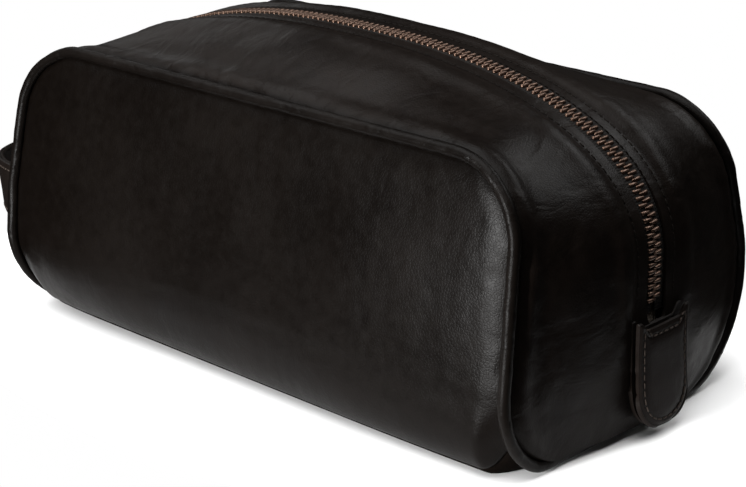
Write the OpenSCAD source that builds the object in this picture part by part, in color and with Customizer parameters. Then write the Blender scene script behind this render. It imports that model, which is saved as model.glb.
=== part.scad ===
// Leather wash bag with a zip over its top and a sewn, piped seam round each side.
// X runs along the bag, -Y is the front, +Z is up. The origin is on the floor under the middle.

/* [Bag] */
// Length between the two end seams, at the floor
base_len = 252; // [240:2:264]
// Depth between the front and back seams, at the floor
base_depth = 150; // [144:2:156]
// Height of the piped seam along the top of the front and back panels
seam_h = 105; // [102:1:108]
// Height of the zip over the middle of the bag
crown_h = 119; // [117:1:122]
// Distance from the middle of the bag to the zip at each end
zip_x = 131.5; // [130:0.5:134]
// Inward lean of the front and back panels, in mm for each mm of height
lean_y = 0.17; // [0.14:0.01:0.2]
// Inward lean of the ends, in mm for each mm of height
lean_x = 0.07; // [0.05:0.01:0.09]
// Radius of the top corners of the front and back panels
top_r = 29; // [24:1:32]
// Radius of the lower front corner, seen from the end
front_r = 28; // [24:1:32]
// Radius of the lower back corner, seen from the end
back_r = 45; // [36:1:48]
// How far the front and back panels bulge out between their seams
panel_bulge = 4; // [2:0.5:5]

/* [Leather] */
// Thickness of the leather panels
leather_t = 2; // [1.6:0.2:2.2]
// Thickness of the lining cloth
lining_t = 0.5; // [0.4:0.1:0.6]
// Diameter of the piping
piping_d = 5; // [4:0.5:5]
// Diameter of the cord inside the piping
core_d = 2.6; // [2:0.2:2.8]
// Angle below level at which the front panel meets the base
front_seam_a = 46; // [40:2:52]
// Angle below level at which the back panel meets the base
back_seam_a = 70; // [64:2:74]

/* [Zip] */
// Height at which the zip ends, above each end tab
zip_end_z = 46; // [45:1:48]
// Distance from one tooth to the next in a row
pitch = 2.54; // [2.4:0.02:2.8]
// Width of the closed chain of teeth
chain_w = 6.4; // [6:0.2:7]
// Thickness of a tooth
tooth_t = 2.4; // [2:0.1:2.6]
// Half of the gap between the two leather edges beside the zip
zip_gap = 6.5; // [6.5:0.5:9]
// How far the leather edges stand above the middle of the teeth
zip_recess = 2.5; // [2.4:0.1:3]
// Length of the puller
puller_len = 30; // [24:1:32]

/* [Tabs and strap] */
// Width of an end tab
tab_w = 28; // [24:1:30]
// Height of an end tab's lower edge
tab_bottom = 5; // [4:1:8]
// Height of an end tab's ears
tab_top = 44; // [43:0.5:44]
// Thickness of each of a tab's two layers
tab_t = 1.7; // [1.4:0.1:1.8]
// Height of the middle of the carry strap
strap_z = 43; // [42:1:50]
// Width of the carry strap
strap_w = 22; // [18:1:24]
// How far the carry strap bows out from its ends
strap_bow = 48; // [38:1:50]
// Thickness of each of the strap's two layers
strap_t = 1.5; // [1.2:0.1:1.6]

/* [Hidden] */
$fn = 48;

FRONT = -1;
BACK = 1;
RIGHT = 1;
LEFT = -1;

// Outline of the front and back seams, seen from the front
top_z = seam_h - top_r;
top_x = base_len / 2 - lean_x * top_z - top_r;
// The halves of the bag part from its foot just under the zip's ends
split_z = zip_end_z - 2;
split_gap = 0.8;
foot_top = split_z - split_gap;
lining_d = leather_t + 0.4;
// Panel edges stop short of the piping's middle by this much
edge_gap = piping_d / 2 + 0.3;
lean_a = atan(lean_y);
// The zip rises straight to zip_bend_z and then follows a rounded path over the top
zip_bend_z = 60;
zip_power = 2.3;
// Where the zip's path passes the inner end of the panels' top corners
zip_corner_t = 44;
// Steps along the upright, the corner and the top, from the right end to the middle
steps_up = 3;
steps_corner = 6;
steps_top = 7;
steps_half = steps_up + steps_corner + steps_top;
steps_all = 2 * steps_half;
// The left end of the zip up to this step stays closed round the slider
closed_step = 4;
tube_sides = 8;
tape_t = 0.6;
tape_w = 16;
tooth_len = 1.1;
// Room between the two rows of teeth, for the slider's post
row_gap = 0.8;
board_t = 2;
// The slider rests at the left end, just above the zip's end
slider_z = zip_end_z + 0.6;
slider_len = 10.5;
slider_w = 10.6;
slider_nose_w = 8.8;
plate_t = 1.2;
channel = 1.9;
lug_x = 7.5;
pin_r = 0.92;
pin_bore_r = 1;
pivot_z = slider_z + 6;
tab_fold_z = 38;
tab_x = zip_x + zip_recess + 0.5;
strap_x = base_len / 2 + 1;
strap_reach = 61;
strap_r = (strap_reach * strap_reach + strap_bow * strap_bow) / (2 * strap_bow);

// ---- Outline of the wrap: front panel, base and back panel, seen from the end ----

function corner_r(side) = side == FRONT ? front_r : back_r;
// Distance from the middle of the bag to the centre of a lower corner
function corner_y(r) = base_depth / 2 - lean_y * r - r * sqrt(1 + lean_y * lean_y);
// A row of the wrap is [distance from the middle, height, angle of its outward normal]
function upright_row(z) = [base_depth / 2 - lean_y * z, z, lean_a];
function corner_row(r, a) = [corner_y(r) + r * cos(a), r + r * sin(a), a];
function upright_foot(r) = r + r * sin(lean_a);
function seam_y(side, z) = let (r = corner_r(side))
    z < upright_foot(r) ? corner_y(r) + sqrt(r * r - (z - r) * (z - r)) : base_depth / 2 - lean_y * z;

// Half of the bag's length at a height, out to the seam
function half_len(z) = z <= top_z ? base_len / 2 - lean_x * z
    : top_x + sqrt(max(0, top_r * top_r - (z - top_z) * (z - top_z)));

// Half of a panel's length at a height, inside the piping
function panel_half(z) = z <= top_z ? half_len(z) - edge_gap
    : top_x + sqrt(max(0, pow(top_r - edge_gap, 2) - pow(z - top_z, 2)));

function bulge(z, c) = panel_bulge * (1 - pow(abs(c), 3)) * pow(max(0, sin(180 * z / seam_h)), 0.8);

// A point of the wrap: row, side, position c from -1 to 1 along the bag, depth d under the surface
function wrap_point(row, side, c, d) =
    let (out = bulge(row[1], c) - d)
    [c * panel_half(row[1]), side * (row[0] + out * cos(row[2])), row[1] + out * sin(row[2])];

// The row of the wrap at a height, on the upright or on the lower corner
function side_row(side, z) = let (r = corner_r(side))
    z < upright_foot(r) ? corner_row(r, asin((z - r) / r)) : upright_row(z);

// Rows of a panel from its top seam down to the split
function panel_rows(side, top_gap, z0) = let (z1 = seam_h - top_gap)
    concat([for (i = [0 : 4]) upright_row(z1 - (1 - cos(22.5 * i)) * (z1 - top_z))],
        [for (i = [1 : 3]) side_row(side, top_z - (top_z - z0) * i / 3)]);

// Rows of a panel's foot, from the split to the seam with the base
function foot_panel_rows(side, seam_a) =
    let (r = corner_r(side), top = side_row(side, foot_top), last = -seam_a + 0.4)
    [for (i = [0 : 6]) i == 0 ? top : corner_row(r, top[2] + (last - top[2]) * i / 6)];

// The base runs from the front seam, under the bag, to the back seam
function base_rows(gap) = concat(
    [for (i = [0 : 2]) let (a = -front_seam_a - gap) [FRONT, corner_row(front_r, a + (-90 - a) * i / 2)]],
    [for (i = [0 : 2]) let (a = -back_seam_a - gap) [BACK, corner_row(back_r, -90 + (a + 90) * i / 2)]]);

// ---- Outline of the gusset: the strip over the top and down both ends ----

// Seam path [x, z] at a step from the right end to the middle, d under the surface
function seam_half(i, d) = i < steps_up
    ? let (z = split_z + (top_z - split_z) * i / steps_up) [base_len / 2 - lean_x * z - d, z]
    : i < steps_up + steps_corner
    ? let (a = 90 * (i - steps_up) / steps_corner, r = top_r - d) [top_x + r * cos(a), top_z + r * sin(a)]
    : [top_x * (steps_half - i) / steps_top, seam_h - d];

// Zip path [x, z]: t runs from -10 at the foot of an end, through 0 at the bend, to 90 over the middle
function zip_curve(t, d) = t < 0
    ? [zip_x - d, zip_bend_z + (zip_bend_z - split_z) * t / 10]
    : [(zip_x - d) * pow(max(0, cos(t)), 2 / zip_power),
        zip_bend_z + (crown_h - zip_bend_z - d) * pow(sin(t), 2 / zip_power)];
function zip_at(t, d) = t <= 90 ? zip_curve(t, d) : let (p = zip_curve(180 - t, d)) [-p[0], p[1]];

function zip_half(i, d) = i < steps_up ? zip_curve(-10 + 10 * i / steps_up, d)
    : i < steps_up + steps_corner ? zip_curve(zip_corner_t * (i - steps_up) / steps_corner, d)
    : zip_curve(zip_corner_t + (90 - zip_corner_t) * (i - steps_up - steps_corner) / steps_top, d);

function mirrored(p) = [-p[0], p[1]];
function seam_step(i, d) = i <= steps_half ? seam_half(i, d) : mirrored(seam_half(steps_all - i, d));
function zip_step(i, d) = i <= steps_half ? zip_half(i, d) : mirrored(zip_half(steps_all - i, d));

// How far the surface has risen from the seam's line to the zip's, at a share s of the way across
function rise(s) = 1 - (1 - s) * (1 - s);

// A point of the gusset: step, side, distance y from the middle, depth d under the surface
function gusset_width(i, side) = seam_y(side, seam_step(i, 0)[1]) - edge_gap;
function gusset_point(i, side, y, d) =
    let (f = seam_step(i, d), m = zip_step(i, d - zip_recess),
        s = rise(max(0, 1 - y / gusset_width(i, side))))
    [f[0] + (m[0] - f[0]) * s, side * y, f[1] + (m[1] - f[1]) * s];

// ---- Solids from grids of points ----

// A closed skin between two grids of rows x cols points, outer surface first
module skin(outer, inner, rows, cols, flip = false) {
    n = rows * cols;
    sheet = [for (r = [0 : rows - 2], c = [0 : cols - 2]) let (k = r * cols + c)
        each [[k, k + 1, k + cols + 1], [k, k + cols + 1, k + cols]]];
    under = [for (f = sheet) [f[2] + n, f[1] + n, f[0] + n]];
    ends = [for (c = [0 : cols - 2]) let (k = c, m = (rows - 1) * cols + c)
        each [[k + 1, k, k + n], [k + 1, k + n, k + 1 + n], [m, m + 1, m + n], [m + 1, m + 1 + n, m + n]]];
    sides = [for (r = [0 : rows - 2]) let (k = r * cols, m = r * cols + cols - 1)
        each [[k, k + cols, k + n], [k + cols, k + cols + n, k + n],
            [m + cols, m, m + n], [m + cols, m + n, m + cols + n]]];
    faces = concat(sheet, under, ends, sides);
    polyhedron(concat(outer, inner), flip ? [for (f = faces) [f[2], f[1], f[0]]] : faces, convexity = 10);
}

function unit(v) = v / norm(v);

// Points of the rings round a path at radius r; ref is a direction across the path everywhere
function rings(path, r, ref) = let (n = len(path)) [for (i = [0 : n - 1])
    let (t = unit(path[min(n - 1, i + 1)] - path[max(0, i - 1)]), a = unit(cross(t, ref)), b = cross(t, a))
    each [for (k = [0 : tube_sides - 1])
        path[i] + r * (a * cos(360 * k / tube_sides) + b * sin(360 * k / tube_sides))]];

// Triangles of the wall through n rings, where the first ring starts at point m
function ring_wall(n, m) = [for (i = [0 : n - 2], k = [0 : tube_sides - 1])
    let (p = m + i * tube_sides + k, q = m + i * tube_sides + (k + 1) % tube_sides)
    each [[p, q, q + tube_sides], [p, q + tube_sides, p + tube_sides]]];

// A round bar along a path
module bar(path, r, ref) {
    n = len(path);
    start = [for (k = [tube_sides - 1 : -1 : 0]) k];
    end = [for (k = [0 : tube_sides - 1]) (n - 1) * tube_sides + k];
    polyhedron(rings(path, r, ref), concat(ring_wall(n, 0), [start, end]), convexity = 10);
}

// Leather piping: a tube along a path, with a bore for its cord
module piping(path, ref) {
    n = len(path);
    m = n * tube_sides;
    end = m - tube_sides;
    bore = [for (f = ring_wall(n, m)) [f[2], f[1], f[0]]];
    rims = [for (k = [0 : tube_sides - 1]) let (q = (k + 1) % tube_sides)
        each [[q, k, m + k], [q, m + k, m + q], [end + k, end + q, end + m + k],
            [end + q, end + m + q, end + m + k]]];
    polyhedron(concat(rings(path, piping_d / 2, ref), rings(path, core_d / 2 + 0.15, ref)),
        concat(ring_wall(n, 0), bore, rims), convexity = 10);
}

function shorter(path, by) =
    let (n = len(path), a = path[0] + unit(path[1] - path[0]) * by,
        b = path[n - 1] + unit(path[n - 2] - path[n - 1]) * by)
    concat([a], [for (i = [1 : n - 2]) path[i]], [b]);

module piping_core(path, ref) bar(shorter(path, 0.2), core_d / 2, ref);

// ---- Foot of the bag ----

module base_panel() color("#1c1613") {
    rows = base_rows(0.4);
    share = [for (i = [0 : 8]) -1 + i / 4];
    skin([for (w = rows, c = share) wrap_point(w[1], w[0], c, 0)],
        [for (w = rows, c = share) wrap_point(w[1], w[0], c, leather_t)], len(rows), len(share));
}

board_y0 = -corner_y(front_r) + 2;
board_y1 = corner_y(back_r) - 2;
module base_board() color("#7a6247")
    translate([-base_len / 2 + 10, board_y0, leather_t + 0.3])
        cube([base_len - 20, board_y1 - board_y0, board_t]);

// The base lining lies over the board and turns up inside the feet of the panels
function lining_depth(a) = lining_d + (board_t + 0.4) * pow(-min(0, sin(a)), 6);
lining_top = foot_top - 1;
function lining_row(side, i) = let (top = side_row(side, lining_top))
    [side, i == 0 ? top : corner_row(corner_r(side), top[2] - (top[2] + 90) * i / 5)];
lining_rows = concat([for (i = [0 : 5]) lining_row(FRONT, i)], [for (i = [5 : -1 : 0]) lining_row(BACK, i)]);
module base_lining() color("#8a7a62") {
    share = [for (i = [0 : 8]) (-1 + i / 4) * (1 - 8 / base_len)];
    spots = [for (w = lining_rows, c = share) [w[1], w[0], c, lining_depth(w[1][2])]];
    skin([for (p = spots) wrap_point(p[0], p[1], p[2], p[3])],
        [for (p = spots) wrap_point(p[0], p[1], p[2], p[3] + lining_t)], len(lining_rows), len(share));
}

// Distance from the middle to the gusset's edge at a height, inside the piping
function gusset_y(side, z) = let (r = corner_r(side))
    z < upright_foot(r) ? corner_y(r) + sqrt(max(0, pow(r - edge_gap, 2) - pow(z - r, 2)))
    : base_depth / 2 - lean_y * z - edge_gap;

// Rows of the gusset's foot rise from the piping on the floor to the split
foot_z = piping_d / 2 + edge_gap;
foot_rows = [for (i = [0 : 6]) foot_z + (foot_top - foot_z) * pow(i / 6, 1.4)];
function foot_bulge(z) = zip_x + zip_recess - half_len(z) - 3 * pow((split_z - z) / split_z, 2);
function foot_point(end, z, c, d) =
    let (y0 = -gusset_y(FRONT, z), y1 = gusset_y(BACK, z))
    [end * (half_len(z) - d + foot_bulge(z) * (1 - c * c)), (y0 + y1) / 2 + c * (y1 - y0) / 2, z];

module gusset_foot(end) {
    share = [for (i = [0 : 10]) sin(90 * (i / 5 - 1))];
    skin([for (z = foot_rows, c = share) foot_point(end, z, c, 0)],
        [for (z = foot_rows, c = share) foot_point(end, z, c, leather_t)],
        len(foot_rows), len(share), end == RIGHT);
}
module gusset_foot_right() color("#1c1613") gusset_foot(RIGHT);
module gusset_foot_left() color("#1c1613") gusset_foot(LEFT);

// The lining inside each end of the foot
module end_lining(end) {
    share = [for (i = [0 : 10]) 0.95 * sin(90 * (i / 5 - 1))];
    rows = [for (i = [0 : 6]) 9 + (foot_top - 9) * i / 6];
    skin([for (z = rows, c = share) foot_point(end, z, c, lining_d)],
        [for (z = rows, c = share) foot_point(end, z, c, lining_d + lining_t)],
        len(rows), len(share), end == RIGHT);
}
module end_lining_right() color("#8a7a62") end_lining(RIGHT);
module end_lining_left() color("#8a7a62") end_lining(LEFT);

// The piping under each end runs from the front split, round the foot, to the back split
function foot_path(end) = concat(
    [for (z = [foot_top, upright_foot(front_r)]) [end * half_len(z), -seam_y(FRONT, z), z]],
    [for (i = [1 : 8]) let (w = corner_row(front_r, lean_a - (90 + lean_a) * i / 8))
        [end * half_len(w[1]), -w[0], max(w[1], piping_d / 2)]],
    [for (i = [0 : 8]) let (w = corner_row(back_r, -90 + (70 + lean_a) * i / 8))
        [end * half_len(w[1]), w[0], max(w[1], piping_d / 2)]],
    [[end * half_len(foot_top), seam_y(BACK, foot_top), foot_top]]);

module piping_foot_right() color("#241d19") piping(foot_path(RIGHT), [1, 0, 0]);
module piping_foot_left() color("#241d19") piping(foot_path(LEFT), [1, 0, 0]);
module piping_core_right() color("#d8cfbd") piping_core(foot_path(RIGHT), [1, 0, 0]);
module piping_core_left() color("#d8cfbd") piping_core(foot_path(LEFT), [1, 0, 0]);

// ---- Halves of the bag ----

module wall(side, rows, d0, d1) {
    share = [for (i = [0 : 12]) sin(90 * (i / 6 - 1))];
    skin([for (w = rows, c = share) wrap_point(w, side, c, d0)],
        [for (w = rows, c = share) wrap_point(w, side, c, d1)], len(rows), len(share), side == FRONT);
}
module front_panel() color("#1c1613") wall(FRONT, panel_rows(FRONT, edge_gap, split_z), 0, leather_t);
module back_panel() color("#1c1613") wall(BACK, panel_rows(BACK, edge_gap, split_z), 0, leather_t);
module front_panel_foot() color("#1c1613") wall(FRONT, foot_panel_rows(FRONT, front_seam_a), 0, leather_t);
module back_panel_foot() color("#1c1613") wall(BACK, foot_panel_rows(BACK, back_seam_a), 0, leather_t);
module panel_lining(side)
    wall(side, panel_rows(side, edge_gap + 4, split_z + 1), lining_d, lining_d + lining_t);
module front_lining() color("#8a7a62") panel_lining(FRONT);
module back_lining() color("#8a7a62") panel_lining(BACK);

// A strip of the gusset over a list of steps, from y0 beside the middle out to a distance from the seam
module gusset_strip(side, steps, y0, seam_gap, d0, d1, cols) {
    rails = [for (i = steps, k = [0 : cols]) [i, y0 + (gusset_width(i, side) - seam_gap - y0) * k / cols]];
    skin([for (r = rails) gusset_point(r[0], side, r[1], d0)],
        [for (r = rails) gusset_point(r[0], side, r[1], d1)], len(steps), cols + 1, side == BACK);
}
all_steps = [for (i = [0 : steps_all]) i];
module gusset_front() color("#1c1613") gusset_strip(FRONT, all_steps, zip_gap, 0, 0, leather_t, 4);
module gusset_back() color("#1c1613") gusset_strip(BACK, all_steps, zip_gap, 0, 0, leather_t, 4);
module gusset_lining(side) gusset_strip(side, all_steps, tape_w + 1, 4, lining_d, lining_d + lining_t, 3);
module gusset_lining_front() color("#8a7a62") gusset_lining(FRONT);
module gusset_lining_back() color("#8a7a62") gusset_lining(BACK);

function half_path(side) =
    [for (i = all_steps) let (p = seam_step(i, 0)) [p[0], side * seam_y(side, p[1]), p[1]]];
module piping_front() color("#241d19") piping(half_path(FRONT), [0, 1, 0]);
module piping_back() color("#241d19") piping(half_path(BACK), [0, 1, 0]);
module piping_core_front() color("#d8cfbd") piping_core(half_path(FRONT), [0, 1, 0]);
module piping_core_back() color("#d8cfbd") piping_core(half_path(BACK), [0, 1, 0]);

// ---- Zip ----

// The tape lies under the gusset's edge and carries the teeth
tape_d = leather_t + 0.3;
module tape_strip(side, steps, y0, d0, d1) skin(
    [for (i = steps, y = [y0, tape_w]) gusset_point(i, side, y, d0)],
    [for (i = steps, y = [y0, tape_w]) gusset_point(i, side, y, d1)], len(steps), 2, side == BACK);
last_step = steps_all - closed_step;
open_steps = [for (i = [0 : last_step]) i == last_step ? i - 0.05 : i];
end_steps = [for (i = [last_step : steps_all]) i == last_step ? i + 0.05 : i];
module zip_tape(side, steps) tape_strip(side, steps, row_gap + 0.4, tape_d, tape_d + tape_t);
module zip_tape_front() color("#151515") zip_tape(FRONT, open_steps);
module zip_tape_back() color("#151515") zip_tape(BACK, open_steps);

// Distance run along the zip, for finding each tooth's place
zip_steps = [for (t = [-10 : 2.5 : 190]) zip_at(t, 0)];
last = len(zip_steps) - 1;
zip_hops = [for (i = [1 : last]) norm(zip_steps[i] - zip_steps[i - 1])];
zip_run = [for (i = 0, s = 0; i <= last; s = s + (i < last ? zip_hops[i] : 0), i = i + 1) s];
run_x = [for (i = [0 : last]) [zip_run[i], zip_steps[i][0]]];
run_z = [for (i = [0 : last]) [zip_run[i], zip_steps[i][1]]];
zip_len = zip_run[last];
function on_zip(s) = [lookup(s, run_x), lookup(s, run_z)];
end_run = zip_end_z - split_z;
teeth = floor((zip_len - 2 * end_run) / pitch);

// One row of teeth, either those that part with the halves or those that stay closed at the left end
closed_z = zip_half(closed_step, 0)[1];
module teeth_row(side, at_end) {
    row_w = chain_w / 2 - row_gap;
    for (k = [0 : teeth - 2]) {
        // The rows are half a pitch apart
        s = end_run + pitch * (k + 0.5 + (side == BACK ? 0.5 : 0));
        p = on_zip(s);
        q = on_zip(s + 0.5) - on_zip(s - 0.5);
        if ((p[0] < 0 && p[1] < closed_z) == at_end)
            translate([p[0], side * (row_gap + row_w / 2), p[1]]) rotate([0, atan2(-q[1], q[0]), 0])
                cube([tooth_len, row_w, tooth_t], center = true);
    }
}
// Each tooth is notched where it is clamped over the edge of the tape
module zip_teeth(side, at_end) difference() {
    teeth_row(side, at_end);
    tape_strip(side, all_steps, row_gap + 0.3, tape_d - 0.05, tape_d + tape_t + 0.05);
}
module zip_teeth_front() color("#8c5f45") zip_teeth(FRONT, false);
module zip_teeth_back() color("#8c5f45") zip_teeth(BACK, false);
module zip_teeth_end_left() color("#8c5f45") for (side = [FRONT, BACK]) zip_teeth(side, true);

// Small stops clamped to the tapes at the closed end of the zip, on the left
module zip_top_stops() color("#8c5f45") for (side = [FRONT, BACK])
    translate([-zip_x - tooth_t / 2, side * 2.4 - 1, split_z + 0.4]) cube([1, 2, 1.4]);

// Under each tab the two tapes run on, joined, as one tail
tail_z = tab_fold_z - 4;
module tape_tail(end) translate([end * (zip_x - 1.6) - tape_t / 2, -tape_w + 2, tail_z])
    cube([tape_t, 2 * tape_w - 4, foot_top - tail_z]);
module zip_tape_end_right() color("#151515") tape_tail(RIGHT);
module zip_tape_end_left() color("#151515") {
    tape_tail(LEFT);
    for (side = [FRONT, BACK]) zip_tape(side, end_steps);
}
// A box stop joins the tapes at the open end of the zip, on the right
module zip_bottom_stop() color("#8c5f45") translate([zip_x - 3.4, -3.2, foot_top - 5]) cube([1.4, 6.4, 4.6]);

module at_left() translate([-zip_x, 0, 0]) mirror([1, 0, 0]) children();

// One side of the slider's plates, from the wide end up
slider_side = [[slider_w / 2 - 0.8, 0], [slider_w / 2, 0.8], [slider_w / 2, slider_len * 0.45],
    [slider_nose_w / 2, slider_len - 0.8], [slider_nose_w / 2 - 0.8, slider_len]];
// Shield shape of the slider's plates, in the Y-Z plane, wide end down
module slider_plate(x) translate([x, 0, slider_z]) rotate([90, 0, 90]) linear_extrude(plate_t) polygon([
    each slider_side, each [for (i = [len(slider_side) - 1 : -1 : 0]) mirrored(slider_side[i])]]);

// Flanges at the slider's sides keep the teeth in its channel and let the tape out
module slider_flange(x, side) translate([x, side * 4.3 - 0.45, slider_z + 1]) cube([1, 0.9, slider_len - 2]);

module slider_body() color("#7d553d") at_left() {
    difference() {
        union() {
            slider_plate(channel);
            slider_plate(-channel - plate_t);
            for (side = [FRONT, BACK]) {
                slider_flange(channel - 0.9, side);
                slider_flange(-channel - 0.1, side);
            }
            // The post that parts the two rows of teeth joins the plates
            translate([-channel - 0.1, -0.5, slider_z + 0.4]) cube([2 * channel + 0.2, 1, 2.2]);
            // The lug that holds the puller's pin
            translate([channel + plate_t - 0.2, -1.1, pivot_z - 2.2])
                cube([lug_x - channel - plate_t + 0.2, 2.2, 4.4]);
            translate([lug_x, 1.1, pivot_z]) rotate([90, 0, 0]) cylinder(h = 2.2, r = 2.2);
        }
        translate([lug_x, 3, pivot_z]) rotate([90, 0, 0]) cylinder(h = 6, r = pin_bore_r);
    }
}

module puller_pin() color("#7d553d") at_left()
    translate([lug_x, 2.6, pivot_z]) rotate([90, 0, 0]) cylinder(h = 5.2, r = pin_r);

// Two ears on the pin, joined below the lug by a plate that widens to a round end with a hole
module zip_puller() color("#7d553d") at_left() {
    blade_top = pivot_z - 3;
    blade_end = pivot_z - puller_len + 4;
    difference() {
        union() {
            for (side = [FRONT, BACK]) {
                translate([lug_x, side * 1.95 + 0.65, pivot_z]) rotate([90, 0, 0]) cylinder(h = 1.3, r = 1.9);
                translate([lug_x - 0.8, side * 1.95 - 0.65, blade_top - 1]) cube([1.6, 1.3, 4]);
            }
            translate([lug_x - 0.8, 0, 0]) rotate([90, 0, 90]) linear_extrude(1.6) polygon([
                [-2.6, blade_top], [2.6, blade_top], [4, blade_end], [-4, blade_end]]);
            translate([lug_x - 0.8, 0, blade_end]) rotate([0, 90, 0]) cylinder(h = 1.6, r = 4);
        }
        translate([lug_x, 3, pivot_z]) rotate([90, 0, 0]) cylinder(h = 6, r = pin_r + 0.001);
        translate([lug_x - 2, 0, blade_end]) rotate([0, 90, 0]) cylinder(h = 4, r = 1.8);
    }
}

// ---- End tabs ----

// A tab hangs from ears beside the zip's end. Its lower edge is round
module tab_outline() difference() {
    union() {
        translate([-tab_w / 2, tab_bottom + tab_w / 2]) square([tab_w, tab_top - tab_bottom - tab_w / 2]);
        translate([0, tab_bottom + tab_w / 2]) circle(r = tab_w / 2, $fn = 64);
    }
    translate([0, tab_top + 10]) circle(r = 14, $fn = 64);
}
module tab_slice(end, x, t, z0, z1)
    translate([end == RIGHT ? tab_x + x : -tab_x - x - t, 0, 0]) rotate([90, 0, 90])
    linear_extrude(t) intersection() {
        tab_outline();
        translate([-tab_w, z0]) square([2 * tab_w, z1 - z0]);
    }
// The right tab lifts below its sewn top. The left tab lies under the puller and stays down
module tab_anchor_right() color("#241d19") tab_slice(RIGHT, 0, 2 * tab_t, tab_fold_z + 0.2, tab_top);
module tab_inner_right() color("#241d19") tab_slice(RIGHT, 0, tab_t, 0, tab_fold_z - 0.2);
module tab_outer_right() color("#241d19") tab_slice(RIGHT, tab_t, tab_t, 0, tab_fold_z - 0.2);
module tab_inner_left() color("#241d19") tab_slice(LEFT, 0, tab_t, 0, tab_top);
module tab_outer_left() color("#241d19") tab_slice(LEFT, tab_t, tab_t, 0, tab_top);

// ---- Carry strap ----

// One layer of the strap, bowed out across the left end
module strap_layer(r0, r1) translate([strap_r - strap_bow - strap_x, 0, strap_z - strap_w / 2])
intersection() {
    difference() {
        cylinder(h = strap_w, r = r1, $fn = 96);
        translate([0, 0, -1]) cylinder(h = strap_w + 2, r = r0, $fn = 96);
    }
    translate([strap_bow - 4 * strap_r, -2 * strap_reach, -1])
        cube([3 * strap_r, 4 * strap_reach, strap_w + 2]);
}
module strap_inner() color("#241d19") strap_layer(strap_r - strap_t, strap_r);
module strap_outer() color("#241d19") strap_layer(strap_r, strap_r + strap_t);

base_panel();
base_board();
base_lining();
front_panel_foot();
back_panel_foot();
gusset_foot_right();
gusset_foot_left();
end_lining_right();
end_lining_left();
piping_foot_right();
piping_foot_left();
piping_core_right();
piping_core_left();
zip_tape_end_right();
zip_tape_end_left();
zip_teeth_end_left();
zip_bottom_stop();
zip_top_stops();
front_panel();
front_lining();
gusset_front();
gusset_lining_front();
piping_front();
piping_core_front();
zip_tape_front();
zip_teeth_front();
back_panel();
back_lining();
gusset_back();
gusset_lining_back();
piping_back();
piping_core_back();
zip_tape_back();
zip_teeth_back();
tab_anchor_right();
tab_outer_right();
tab_inner_right();
tab_outer_left();
tab_inner_left();
slider_body();
puller_pin();
zip_puller();
strap_outer();
strap_inner();
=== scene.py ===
"""Leather wash bag: soft leather, piping, zip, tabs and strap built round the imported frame."""
import math

import bmesh
import bpy
import numpy as np
from mathutils import Matrix, Vector, noise


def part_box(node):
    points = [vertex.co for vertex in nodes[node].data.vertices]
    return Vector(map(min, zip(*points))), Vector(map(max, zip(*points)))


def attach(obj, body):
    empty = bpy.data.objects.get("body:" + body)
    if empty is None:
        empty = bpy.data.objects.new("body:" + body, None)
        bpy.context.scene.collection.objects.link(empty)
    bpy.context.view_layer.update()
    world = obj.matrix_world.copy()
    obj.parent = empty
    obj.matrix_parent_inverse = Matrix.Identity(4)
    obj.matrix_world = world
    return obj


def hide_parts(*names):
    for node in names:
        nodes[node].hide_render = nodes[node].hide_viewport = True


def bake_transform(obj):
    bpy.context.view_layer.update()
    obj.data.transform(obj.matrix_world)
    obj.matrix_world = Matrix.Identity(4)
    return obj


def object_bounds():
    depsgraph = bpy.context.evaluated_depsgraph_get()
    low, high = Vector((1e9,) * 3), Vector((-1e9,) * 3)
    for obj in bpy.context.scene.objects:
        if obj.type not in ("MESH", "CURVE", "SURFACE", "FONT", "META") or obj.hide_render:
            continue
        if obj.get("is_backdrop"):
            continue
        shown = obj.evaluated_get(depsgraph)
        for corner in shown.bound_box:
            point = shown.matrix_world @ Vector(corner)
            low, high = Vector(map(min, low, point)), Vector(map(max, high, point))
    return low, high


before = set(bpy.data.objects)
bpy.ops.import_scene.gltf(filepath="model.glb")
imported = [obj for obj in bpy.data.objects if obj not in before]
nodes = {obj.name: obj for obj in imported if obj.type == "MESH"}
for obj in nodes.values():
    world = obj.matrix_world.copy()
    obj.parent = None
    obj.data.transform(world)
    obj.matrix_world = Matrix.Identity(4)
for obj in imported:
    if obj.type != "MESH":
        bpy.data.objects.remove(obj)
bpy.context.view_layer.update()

# ---- Sizes, in millimetres ----

MM = 0.001
FRONT, BACK = -1, 1
RIGHT, LEFT = 1, -1

PIPING_R = 2.5
EDGE_GAP = PIPING_R + 0.3                      # CAD edges stop this far from the piping's middle
TUCK = 1.3                                     # soft edges run in under the piping, to this distance
LEATHER_T = 2.0
LEAN_X, LEAN_Y = 0.07, 0.17
CORNER_R = {FRONT: 28.0, BACK: 45.0}           # lower corners, seen from the end
SEAM_ANGLE = {FRONT: 46.0, BACK: 70.0}         # where each panel meets the base
TOP_R = 29.0
SPLIT_Z = 44.0                                 # the zip ends and the mouth's opening starts here
ZIP_BEND_Z, ZIP_POWER, ZIP_RECESS = 60.0, 2.3, 2.5
TAPE_W = 16.0
PANEL_BULGE = 4.0
PITCH = 2.54                                   # from one tooth to the next in a row
LINING_D = LEATHER_T + 0.4
SMOOTH_ANGLE = math.radians(55)                # edges sharper than this stay crisp


def top_of(node):
    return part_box(node)[1] / MM


HALF_BASE = top_of("base_panel").x + EDGE_GAP  # half of the bag's length at the floor
SEAM_H = top_of("piping_front").z - PIPING_R
HALF_DEPTH = top_of("piping_back").y - PIPING_R * math.cos(math.atan(LEAN_Y)) + LEAN_Y * SPLIT_Z
HALF_DEPTH = round(HALF_DEPTH)
ZIP_X = top_of("zip_bottom_stop").x + 2.0
CROWN_H = round(top_of("gusset_front").z - ZIP_RECESS)
TOP_Z = SEAM_H - TOP_R
TOP_X = HALF_BASE - LEAN_X * TOP_Z - TOP_R
LEAN_A = math.atan(LEAN_Y)


# ---- Outlines ----

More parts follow.
